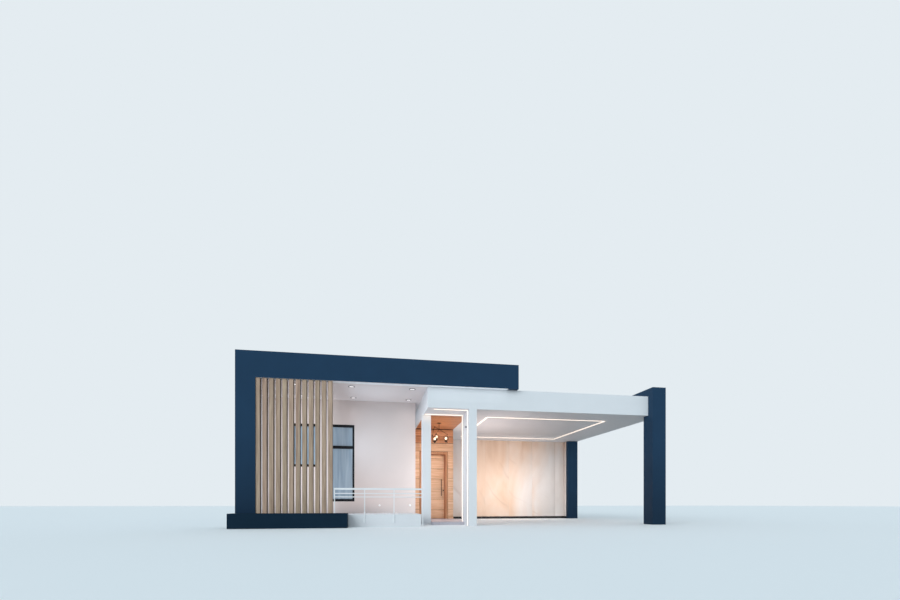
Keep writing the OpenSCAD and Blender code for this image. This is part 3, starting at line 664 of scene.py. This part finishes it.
def cladding_boards():
    """Horizontal boards round the door, before a dark backing that shows in their joints."""
    lowest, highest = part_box("timber_cladding")
    door_low, door_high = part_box("door_frame")
    lower_y, upper_y, wall_y = levels("timber_cladding", 1)
    joint_z = levels("timber_cladding", 2)[-2]
    foot_z = joint_z + SHADOW_GAP
    over_door_z = door_high.z + BOARD_JOINT
    back_y = wall_y - BACKING_T
    strip_y = upper_y - SHADOW_STRIP_PROUD
    boxes = []
    for x0, x1 in ((lowest.x, door_low.x - BOARD_JOINT), (door_high.x + BOARD_JOINT, highest.x)):
        for z0, z1 in board_rows(lowest.z, over_door_z):
            boxes.append(((x0, lower_y, z0), (x1, back_y, z1)))
    boxes.append(((lowest.x, lower_y, over_door_z + BOARD_JOINT), (highest.x, back_y, joint_z)))
    upper = [((lowest.x, upper_y, z0), (highest.x, back_y, z1))
             for z0, z1 in rows(foot_z, highest.z, (highest.z - foot_z) / UPPER_BOARDS, BOARD_JOINT)]
    backing = [((lowest.x, back_y, lowest.z), (door_low.x, wall_y, door_high.z)),
               ((door_high.x, back_y, lowest.z), (highest.x, wall_y, door_high.z)),
               ((lowest.x, back_y, door_high.z), (highest.x, wall_y, highest.z)),
               ((lowest.x, strip_y, joint_z), (highest.x, back_y, foot_z))]
    add_blocks("cladding_boards", boxes, BOARD_BEVEL, ENTRY_WOOD,
               replaced="timber_cladding")
    add_blocks("upper_cladding_boards", upper, BOARD_BEVEL, UPPER_WOOD)
    add_blocks("cladding_backing", backing, FINE_BEVEL, SHADOW_WOOD)


def ceiling_boards():
    """Boards that run along the front, and a dark strip of wood where they meet the door's wall: painted
    shade in that corner.
    """
    lowest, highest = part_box("timber_ceiling")
    boxes = [((lowest.x, y0, lowest.z), (highest.x, y1, highest.z))
             for y0, y1 in rows(lowest.y, highest.y, CEILING_BOARD_W, CEILING_JOINT)]
    wall_y = levels("timber_cladding", 1)[1]
    batten = ((lowest.x, wall_y - CORNER_BATTEN, lowest.z - CORNER_BATTEN), (highest.x, wall_y, lowest.z))
    add_blocks("ceiling_boards", boxes, BOARD_BEVEL, CEILING_WOOD,
               replaced="timber_ceiling")
    add_blocks("ceiling_shadow_batten", [batten], BOARD_BEVEL, SHADOW_WOOD)


def frame_layer(y0, y1, left_x, right_x, under_z):
    """Both sides and the head of one layer of the door's frame."""
    lowest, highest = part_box("door_frame")
    return [((lowest.x, y0, lowest.z), (left_x, y1, highest.z)),
            ((right_x, y0, lowest.z), (highest.x, y1, highest.z)),
            ((left_x, y0, under_z), (right_x, y1, highest.z))]


def door_casing():
    """The frame in boards: a face round the opening, the stop for the leaf and the lining behind it."""
    lowest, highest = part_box("door_frame")
    across = levels("door_frame", 0)
    middle = (lowest.x + highest.x) / 2
    face_x, lining_x, stop_x = [x for x in across[1:] if x < middle][:3]
    face_right, lining_right, stop_right = [x for x in reversed(across[:-1]) if x > middle][:3]
    stop_z, lining_z, face_z = levels("door_frame", 2)[1:4]
    step_y, stop_y = levels("door_frame", 1)[1:3]
    face = frame_layer(lowest.y, step_y, face_x, face_right, face_z)
    stop = frame_layer(step_y, stop_y, stop_x, stop_right, stop_z)
    lining = frame_layer(stop_y, highest.y, lining_x, lining_right, lining_z)
    add_blocks("door_casing", face, DOOR_BEVEL, CASING_WOOD, replaced="door_frame")
    # The stop and lining in the darker wood: partly painted shade of the reveal
    add_blocks("door_lining", stop + lining, BOARD_BEVEL, JAMB_WOOD)


def door_leaf():
    """Boards at the cladding's heights, with a dark core that shows in their joints."""
    lowest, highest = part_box("front_door")
    boxes = [((lowest.x, lowest.y, z0), (highest.x, highest.y, z1))
             for z0, z1 in board_rows(lowest.z, highest.z)]
    core = (lowest + CORE_INSET, highest - CORE_INSET)
    add_blocks("door_leaf", boxes, DOOR_BEVEL, ENTRY_WOOD, DOOR, "front_door")
    add_blocks("door_core", [core], CORE_BEVEL, SHADOW_WOOD, DOOR)


# Stone

SLAB_W = 0.98
FIRST_SLAB_W = 0.724
SLAB_JOINT = 0.001


def marble_slabs():
    """Slabs on the back wall, and the narrow slab that returns along the rear column."""
    (wall_low, wall_high), return_slab = solids("marble_cladding")
    boxes = [((x0, wall_low.y, wall_low.z), (x1, wall_high.y, wall_high.z))
             for x0, x1 in rows(wall_low.x, wall_high.x, SLAB_W, SLAB_JOINT, FIRST_SLAB_W)]
    add_blocks("marble_slabs", boxes + [return_slab], FINE_BEVEL, MARBLE,
               replaced="marble_cladding")


# Soil

SOIL_COLUMNS = 90
SOIL_LINES = 12
SWELL_H = 0.03
CRUMB_H = 0.014
SOIL_SHARP_DEGREES = 80


def planter_earth():
    """Uneven crumbly soil inside the planter."""
    lowest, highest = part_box("planter_soil")

    def build(bm):
        grid = []
        for j in range(SOIL_LINES + 1):
            line = []
            for i in range(SOIL_COLUMNS + 1):
                x = lowest.x + (highest.x - lowest.x) * i / SOIL_COLUMNS
                y = lowest.y + (highest.y - lowest.y) * j / SOIL_LINES
                swell = 0.5 + 0.5 * math.sin(x * 5.1 + 1.3 * math.sin(y * 9))
                z = highest.z - SWELL_H * swell - RANDOM.uniform(0, CRUMB_H)
                line.append(bm.verts.new((x, y, z)))
            grid.append(line)
        for near, far in zip(grid, grid[1:]):
            for i in range(SOIL_COLUMNS):
                bm.faces.new((near[i], near[i + 1], far[i + 1], far[i]))
    add_piece("planter_earth", build, SOIL, replaced="planter_soil", sharp=SOIL_SHARP_DEGREES)


# Windows

BEAD = 0.014
BEAD_BEVEL = 0.003


def window_beads():
    """Slim beads that hold each pane, on both sides of the glass."""
    boxes = []
    for lowest, highest in solids("window_glass"):
        along = 0 if highest.x - lowest.x > highest.y - lowest.y else 1
        across = 1 - along
        for side in (-1, 1):
            face = lowest[across] if side < 0 else highest[across]
            outer = face + side * BEAD
            depth = (min(face, outer), max(face, outer))
            width = (lowest[along], highest[along])
            height = (lowest.z, highest.z)
            for ends in (((width[0], width[0] + BEAD), height), ((width[1] - BEAD, width[1]), height),
                         (width, (height[0], height[0] + BEAD)), (width, (height[1] - BEAD, height[1]))):
                spans = {along: ends[0], across: depth, 2: ends[1]}
                boxes.append(tuple(tuple(spans[axis][end] for axis in range(3)) for end in (0, 1)))
    add_blocks("window_beads", boxes, BEAD_BEVEL, BLACK_METAL)


# Light fittings

# Profiles in shares of the fitting's radius and depth
RING_PROFILE = ((0, 0), (1, 0), (1, 0.7), (0.97, 1), (0.8288, 1), (0.7622, 0.9), (0.74, 0.75))
LENS_PROFILE = ((0.7474, 0.75), (0.444, 0.92), (0, 0.98))
CUP_PROFILE = ((0, 0), (1, 0), (1, 0.7), (0.94, 0.85), (0.84, 0.85), (0.82, 0.6))
DOME_PROFILE = ((0.83, 0.6), (0.6, 0.9), (0, 1))

# Profiles in shares of the globe's radius; the socket stands in the globe's foot
GLOBE_PROFILE = egg_profile(1, 1, step=9)
BULB_PROFILE = egg_profile(0.40, 0.48, step=15)
SOCKET_PROFILE = ((0, 0), (0.2, 0), (0.2, 0.3), (0.15, 0.55), (0, 0.55))
SOCKET_DROP = 0.97

STRIP_PROUD = 0.005
STRIP_BEVEL = 0.005
STRIP_ON_POST_DROP = 0.5
SENSOR_Z = 2.675
SENSOR_BEHIND_STRIP = 0.09
SENSOR_PROFILE = ((0, 0), (0.03, 0), (0.03, 0.038), (0.024, 0.052), (0, 0.058))


def add_fittings(name, node, facing, profiles, metal, segments):
    """A turned body and a turned lens in place of each light of a node."""
    axis = {"down": 2, "front": 1}[facing]

    def build(bm):
        for lowest, highest in solids(node):
            foot = (lowest + highest) / 2
            foot[axis] = highest[axis]
            radius = (highest.x - lowest.x) / 2
            depth = highest[axis] - lowest[axis]
            for index, profile in enumerate(profiles):
                add_turned(bm, foot, sized(profile, radius, depth), facing, segments, index)
    add_piece(name, build, (metal, SPOT_LIGHT), replaced=node)


def light_fittings():
    """Downlights: a grey ring with a stepped throat round a lens that stands back in it. Wall lights: a
    small white cup with a domed lens."""
    add_fittings("downlight_fittings", "porch_downlights", "down", (RING_PROFILE, LENS_PROFILE),
                 GREY_METAL, segments=48)
    add_fittings("wall_light_fittings", "low_wall_lights", "front", (CUP_PROFILE, DOME_PROFILE),
                 WHITE_METAL, segments=32)


def at_globes(profile, segments, drop=0.0):
    """Builds a turned shape at each globe of the pendant lamp, lowered by a share of its radius."""
    def build(bm):
        for lowest, highest in solids("lamp_globes"):
            radius = (highest.x - lowest.x) / 2
            middle = (lowest + highest) / 2 - Vector((0, 0, radius * drop))
            add_turned(bm, middle, sized(profile, radius, radius), segments=segments)
    return build


def pendant_glass():
    """Clear globes with a warm bulb in the middle of each, on a short socket."""
    add_piece("pendant_globes", at_globes(GLOBE_PROFILE, 40), GLOBE, replaced="lamp_globes")
    add_piece("pendant_bulbs", at_globes(BULB_PROFILE, 24), LAMP_LIGHT)
    add_piece("pendant_sockets", at_globes(SOCKET_PROFILE, 24, SOCKET_DROP), BRONZE)


def ring_runs(lowest, highest):
    """Four runs of a rectangle of light, as wide as the straight strips."""
    width = min(b.y - a.y for a, b in solids("led_strips"))
    inner = (lowest.y + width, highest.y - width)
    return [(lowest, (highest.x, inner[0], highest.z)),
            ((lowest.x, inner[1], lowest.z), highest),
            ((lowest.x, inner[0], lowest.z), (lowest.x + width, inner[1], highest.z)),
            ((highest.x - width, inner[0], lowest.z), (highest.x, inner[1], highest.z))]


def strip_boxes():
    """Runs of light down the post, and runs of light along the soffit, a little proud of both."""
    post_x = low("portal_right_post").x
    soffit_z = low("plaster_soffit").z
    down = Vector((0, 0, STRIP_PROUD))
    upright = []
    level = []
    for lowest, highest in solids("led_strips"):
        if lowest.z < soffit_z - STRIP_ON_POST_DROP:
            upright.append(((post_x - STRIP_PROUD, lowest.y, lowest.z), (highest.x, highest.y, soffit_z)))
            level.append(((lowest.x, lowest.y, soffit_z - STRIP_PROUD), (post_x, highest.y, highest.z)))
        else:
            level += ring_runs(lowest - down, highest)
    return upright, level


def strip_covers():
    """Opal covers of the light strips, with rounded edges."""
    upright, level = strip_boxes()
    add_blocks("strip_covers", upright + level, STRIP_BEVEL, STRIP_LIGHT,
               replaced="led_strips")


def post_sensor():
    """A small grey sensor that stands out of the right post, behind its front strip of light."""
    front_strip = min(strip_boxes()[0], key=lambda box: box[0][1])
    foot = (low("portal_right_post").x, front_strip[1][1] + SENSOR_BEHIND_STRIP, SENSOR_Z)

    def build(bm):
        add_turned(bm, foot, SENSOR_PROFILE, "left")
    add_piece("post_sensor", build, SENSOR_GREY)


# Metalwork

FOOT_MARGIN = 0.01
GROUND_MARGIN = 0.02
FIXING_BEVEL = 0.0015
PLATE_HALF_W = 0.028
PLATE_HALF_H = 0.05
PLATE_T = 0.004
PLATE_ABOVE_FOOT = 0.055
BOLT_SIDES = (-0.02, 0.02)
BOLT_HEIGHTS = (-0.034, 0.034)
BOLT_PROFILE = ((0.006, 0), (0.006, 0.003), (0, 0.005))
BOLT_SEGMENTS = 12
BASE_HALF_W = 0.024
BASE_DEPTH = 0.034
BASE_T = 0.006


def railing_posts():
    """Left side, right side and foot of each railing post, from left to right."""
    feet = {}
    for vertex in NODES["porch_railing"].data.vertices:
        if vertex.co.z < high("planter_box").z + FOOT_MARGIN:
            feet[round(vertex.co.x, 4)] = vertex.co.z
    sides = sorted(feet)
    return [(x0, x1, feet[x0]) for x0, x1 in zip(sides[::2], sides[1::2])]


def railing_fixings():
    """A plate with four bolts for each post that reaches down the plinth, and a base under the others."""
    face_y = low("porch_plinth").y
    plate_y = face_y - PLATE_T

    def build(bm):
        for x0, x1, foot in railing_posts():
            x = (x0 + x1) / 2
            if GROUND_MARGIN < foot < high("porch_plinth").z:
                z = foot + PLATE_ABOVE_FOOT
                add_block(bm, (x - PLATE_HALF_W, plate_y, z - PLATE_HALF_H),
                          (x + PLATE_HALF_W, face_y, z + PLATE_HALF_H), FIXING_BEVEL)
                for up in BOLT_HEIGHTS:
                    for side in BOLT_SIDES:
                        add_turned(bm, (x + side, plate_y, z + up), BOLT_PROFILE, "front", BOLT_SEGMENTS)
            else:
                add_block(bm, (x - BASE_HALF_W, face_y - BASE_DEPTH, foot),
                          (x + BASE_HALF_W, face_y, foot + BASE_T), FIXING_BEVEL)
    add_piece("railing_fixings", build, WHITE_METAL)


# Roof

PARAPET_T = levels("roof_parapets", 0)[1] - levels("roof_parapets", 0)[0]
ROOF_FRONT_Y = high("frame_band").y
COPING_LIP = 0.012
COPING_OVERLAP = 0.002
COPING_H = 0.022
COPING_BEVEL = 0.004
SHEET_W = 1.0
SHEET_LAP = 0.04
SHEET_LIFT = 0.002
SHEET_T = 0.004


def roof_copings():
    """Folded metal copings on the parapets."""
    lowest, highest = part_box("roof_parapets")
    foot_z = highest.z - COPING_OVERLAP
    top_z = highest.z + COPING_H
    inward = PARAPET_T + COPING_LIP
    rear_y = highest.y + COPING_LIP
    boxes = [((lowest.x - COPING_LIP, ROOF_FRONT_Y, foot_z), (lowest.x + inward, rear_y, top_z)),
             ((highest.x - inward, ROOF_FRONT_Y, foot_z), (highest.x + COPING_LIP, rear_y, top_z)),
             ((lowest.x + inward, highest.y - inward, foot_z), (highest.x - inward, rear_y, top_z))]
    add_blocks("roof_copings", boxes, COPING_BEVEL, WHITE_METAL)


def roof_sheets():
    """Membrane laid on the high roof inside the parapets, in sheets of which every other one lies on its
    neighbours."""
    slab_low, slab_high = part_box("high_roof_slab")
    boxes = []
    spans = rows(slab_low.x + PARAPET_T, slab_high.x - PARAPET_T, SHEET_W)
    for index, (x0, x1) in enumerate(spans):
        z = slab_high.z + SHEET_LIFT * (1 + index % 2)
        boxes.append(((x0 - SHEET_LAP * (index > 0), ROOF_FRONT_Y, z),
                      (x1, slab_high.y - PARAPET_T, z + SHEET_T)))
    add_blocks("roof_sheets", boxes, FINE_BEVEL, MEMBRANE)


# Stage and world

FLOOR_SIZE = 240
FLOOR_SHOWN = srgb(238, 242, 245)
FLOOR_BOUNCE = (0.40, 0.41, 0.41)
SKY_SHOWN = srgb(228, 236, 241)
SKY_LIGHT = (0.80, 0.93, 1.0)
SKY_STRENGTH = 0.75


def seen_directly(tree):
    """1 where a camera, glossy or transmission ray looks, and 0 for light that bounces."""
    rays = tree.nodes.new("ShaderNodeLightPath")
    seen = rays.outputs["Is Camera Ray"]
    for other in ("Is Glossy Ray", "Is Transmission Ray"):
        either = tree.nodes.new("ShaderNodeMath")
        either.operation = "MAXIMUM"
        tree.links.new(seen, either.inputs[0])
        tree.links.new(rays.outputs[other], either.inputs[1])
        seen = either.outputs[0]
    return seen


def make_stage():
    """A plain pale floor that throws back as little light as the photo's lawn and paving."""
    m = Material("stage_floor", roughness=0.9)
    m.colour(m.mix(seen_directly(m.tree), FLOOR_BOUNCE, FLOOR_SHOWN))
    bpy.ops.mesh.primitive_plane_add(size=FLOOR_SIZE, location=(0, 0, 0))
    floor = bpy.context.object
    floor.name = "stage_floor"
    floor.data.materials.append(m.data)


def make_world():
    """Soft even daylight; the camera sees a pale sky."""
    world = bpy.data.worlds.new("world")
    world.use_nodes = True
    tree = world.node_tree
    light = tree.nodes["Background"]
    light.inputs["Color"].default_value = opaque(SKY_LIGHT)
    light.inputs["Strength"].default_value = SKY_STRENGTH
    shown = tree.nodes.new("ShaderNodeBackground")
    shown.inputs["Color"].default_value = opaque(SKY_SHOWN)
    mixed = tree.nodes.new("ShaderNodeMixShader")
    tree.links.new(seen_directly(tree), mixed.inputs["Fac"])
    tree.links.new(light.outputs[0], mixed.inputs[1])
    tree.links.new(shown.outputs[0], mixed.inputs[2])
    tree.links.new(mixed.outputs[0], tree.nodes["World Output"].inputs["Surface"])
    bpy.context.scene.world = world


# Lights

FRONT_LIGHT = 2.04
FRONT_LIGHT_COLOUR = (0.88, 0.96, 0.99)
FRONT_LIGHT_SOFT_DEGREES = 50
FRONT_LIGHT_DEGREES = (78, 0, -42)
AMBER = (1.0, 0.66, 0.40)
WARM = (1.0, 0.82, 0.64)
SOFT_WARM = (1.0, 0.90, 0.82)
NEUTRAL = (1.0, 0.96, 0.95)
ROSY = (1.0, 0.88, 0.85)
BLUSH = (1.0, 0.75, 0.67)
COOL = (0.90, 0.96, 1.0)
BLUE = (0.68, 0.86, 1.0)

# Lamps stand at distances in metres from the parts that they light. Turns of a panel are in degrees.
SHINES_UP = (180, 0, 0)
SHINES_BACK = (90, 0, 0)
SHINES_RIGHT = (0, -90, 0)

STRIP_WATTS_PER_METRE = 0.12
STRIP_PANEL_BELOW = 0.05
STRIP_PANEL_MARGIN = 0.05
DOWNLIGHT_BELOW = 0.03
DOWNLIGHT_DEGREES = 160


def add_lamp(name, kind, place, colour, watts, **settings):
    """A lamp that neither the camera nor a reflection shows."""
    data = bpy.data.lights.new(name, kind)
    data.energy = watts
    data.color = colour
    for key, value in settings.items():
        setattr(data, key, value)
    lamp = bpy.data.objects.new(name, data)
    lamp.location = place
    lamp.visible_camera = False
    lamp.visible_glossy = False
    bpy.context.scene.collection.objects.link(lamp)
    return lamp


def add_panel(name, place, turn, colour, watts, width, length, spread=180):
    """A rectangle of light; spread is the angle in degrees over which it shines."""
    lamp = add_lamp(name, "AREA", place, colour, watts, shape="RECTANGLE", size=width, size_y=length,
                    spread=math.radians(spread))
    lamp.rotation_euler = [math.radians(angle) for angle in turn]


def front_light():
    """Broad daylight from the front left, as soft as from an overcast sky."""
    lamp = add_lamp("soft_front_light", "SUN", (0, 0, 0), FRONT_LIGHT_COLOUR, FRONT_LIGHT,
                    angle=math.radians(FRONT_LIGHT_SOFT_DEGREES))
    lamp.rotation_euler = [math.radians(angle) for angle in FRONT_LIGHT_DEGREES]


def porch_lights():
    """Light that bounces off the porch's floor, rosier on the right, and what falls through the slats."""
    plinth_low, plinth_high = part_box("porch_plinth")
    slats_low, slats_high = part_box("timber_slats")
    slats_middle = (slats_low + slats_high) / 2
    wall_y = low("front_wall").y
    x = (plinth_low.x + plinth_high.x) / 2
    y = (FRONT_Y + wall_y) / 2 - 0.2
    z = plinth_high.z + 0.05
    length = wall_y - FRONT_Y - 0.5
    add_panel("porch_fill_left", (x - 1.1, y, z), SHINES_UP, COOL, watts=10.5, width=2.3, length=length)
    add_panel("porch_fill_right", (x + 0.9, y, z), SHINES_UP, BLUSH, watts=9.5, width=1.8, length=length)
    add_panel("porch_foot_fill", (x + 0.9, FRONT_Y + 0.4, z + 0.35), SHINES_BACK, NEUTRAL, watts=0.5,
              width=2.4, length=0.6)
    add_panel("slat_wall_fill", (slats_middle.x - 0.1, wall_y - 0.5, slats_middle.z), SHINES_BACK, COOL,
              watts=11.5, width=slats_high.x - slats_low.x, length=slats_high.z - slats_low.z - 0.3)


def carport_lights():
    """Light of the ceiling's strips on the marble, and its bounce off the floor."""
    marble_low, marble_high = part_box("marble_cladding")
    left = marble_low.x
    rear = marble_high.y
    bay_w = marble_high.x - left
    add_panel("carport_wall_wash", (left + bay_w * 0.51, rear - 2.4, 1.2), SHINES_BACK, NEUTRAL,
              watts=37.5, width=bay_w * 0.7, length=1.4, spread=130)
    add_panel("carport_fill", (left + bay_w * 0.34, rear - 3.2, 1.6), SHINES_UP, BLUSH, watts=8.5,
              width=2.6, length=2.6)
    add_panel("carport_fill_left", (left + 0.9, rear - 3.9, 2.1), SHINES_UP, ROSY, watts=8.5, width=1.2,
              length=3.2)


def entry_lights():
    """The pendant lamp's glow, and fills for the door and for the timber left of it."""
    lamp_low, lamp_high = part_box("pendant_lamp")
    middle = (lamp_low + lamp_high) / 2
    add_lamp("pendant_glow", "POINT", (middle.x, middle.y, lamp_low.z - 0.1), WARM, watts=13,
             shadow_soft_size=0.12)
    add_panel("entry_fill", (middle.x, middle.y - 0.9, 1.3), SHINES_BACK, NEUTRAL, watts=12, width=0.7,
              length=2.0)
    add_panel("entry_left_fill", (low("portal_left_post").x + 0.06, middle.y, 1.3), SHINES_BACK, SOFT_WARM,
              watts=3.2, width=0.25, length=2.0, spread=150)


def portal_lights():
    """Glow at the left post, soffit and strips, and daylight on the right post and under the band."""
    post_low, post_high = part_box("portal_left_post")
    soffit_z = low("plaster_soffit").z
    right_x = low("portal_right_post").x
    front_y = post_low.y
    add_panel("post_top_glow", ((post_low.x + post_high.x) / 2, front_y - 0.12, soffit_z - 0.06),
              SHINES_BACK, AMBER, watts=0.1, width=0.3, length=0.08)
    add_panel("soffit_glow", ((post_high.x + right_x) / 2, front_y - 0.4, soffit_z - 0.25), SHINES_UP,
              BLUSH, watts=0.2, width=right_x - post_high.x, length=0.8)
    add_panel("right_post_fill", (right_x + 0.45, front_y - 2.2, 1.6), SHINES_BACK, NEUTRAL, watts=1.0,
              width=0.3, length=2.4)

    fascia_low, fascia_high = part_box("portal_front_fascia")
    band_end_x = low("roof_step_wall").x
    add_panel("band_underside_fill", ((fascia_low.x + band_end_x) / 2, (FRONT_Y + fascia_low.y) / 2,
                                      fascia_high.z - 0.35), SHINES_UP, COOL, watts=0.8,
              width=band_end_x - fascia_low.x, length=0.3, spread=60)

    for index, (lowest, highest) in enumerate(strip_boxes()[1]):
        width = highest[0] - lowest[0]
        length = highest[1] - lowest[1]
        place = (lowest[0] + width / 2, lowest[1] + length / 2, lowest[2] - STRIP_PANEL_BELOW)
        add_panel(f"strip_glow_{index + 1}", place, SHINES_UP, SOFT_WARM,
                  watts=STRIP_WATTS_PER_METRE * max(width, length), width=width + STRIP_PANEL_MARGIN,
                  length=length + STRIP_PANEL_MARGIN)


def fascia_lights():
    """Blue daylight on the side fascia, and light in the slot between it and the front wall."""
    side_low, side_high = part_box("portal_side_fascia")
    wall_x = high("front_wall").x
    wall_y = low("front_wall").y
    middle_z = (side_low.z + side_high.z) / 2
    add_panel("side_fascia_fill", (side_low.x - 2.2, side_low.y + 0.7, side_low.z - 0.8), SHINES_RIGHT,
              BLUE, watts=14, width=0.7, length=1.2)
    add_panel("slot_fill", ((wall_x + side_low.x) / 2, (wall_y + side_high.y) / 2, middle_z), SHINES_RIGHT,
              COOL, watts=0.6, width=0.45, length=side_high.y - wall_y - 0.1)


def downlights():
    """A soft spot under each of the porch's downlights."""
    for index, (lowest, highest) in enumerate(solids("porch_downlights")):
        middle = (lowest + highest) / 2
        add_lamp(f"downlight_{index + 1}", "SPOT", (middle.x, middle.y, lowest.z - DOWNLIGHT_BELOW), ROSY,
                 watts=5, spot_size=math.radians(DOWNLIGHT_DEGREES), spot_blend=1.0, shadow_soft_size=0.2)


make_camera()
dress_nodes()
cladding_boards()
ceiling_boards()
door_casing()
door_leaf()
marble_slabs()
planter_earth()
window_beads()
light_fittings()
pendant_glass()
strip_covers()
post_sensor()
railing_fixings()
roof_copings()
roof_sheets()
make_stage()
make_world()
front_light()
porch_lights()
carport_lights()
entry_lights()
portal_lights()
fascia_lights()
downlights()

scene = bpy.context.scene
scene.view_settings.view_transform = "Standard"
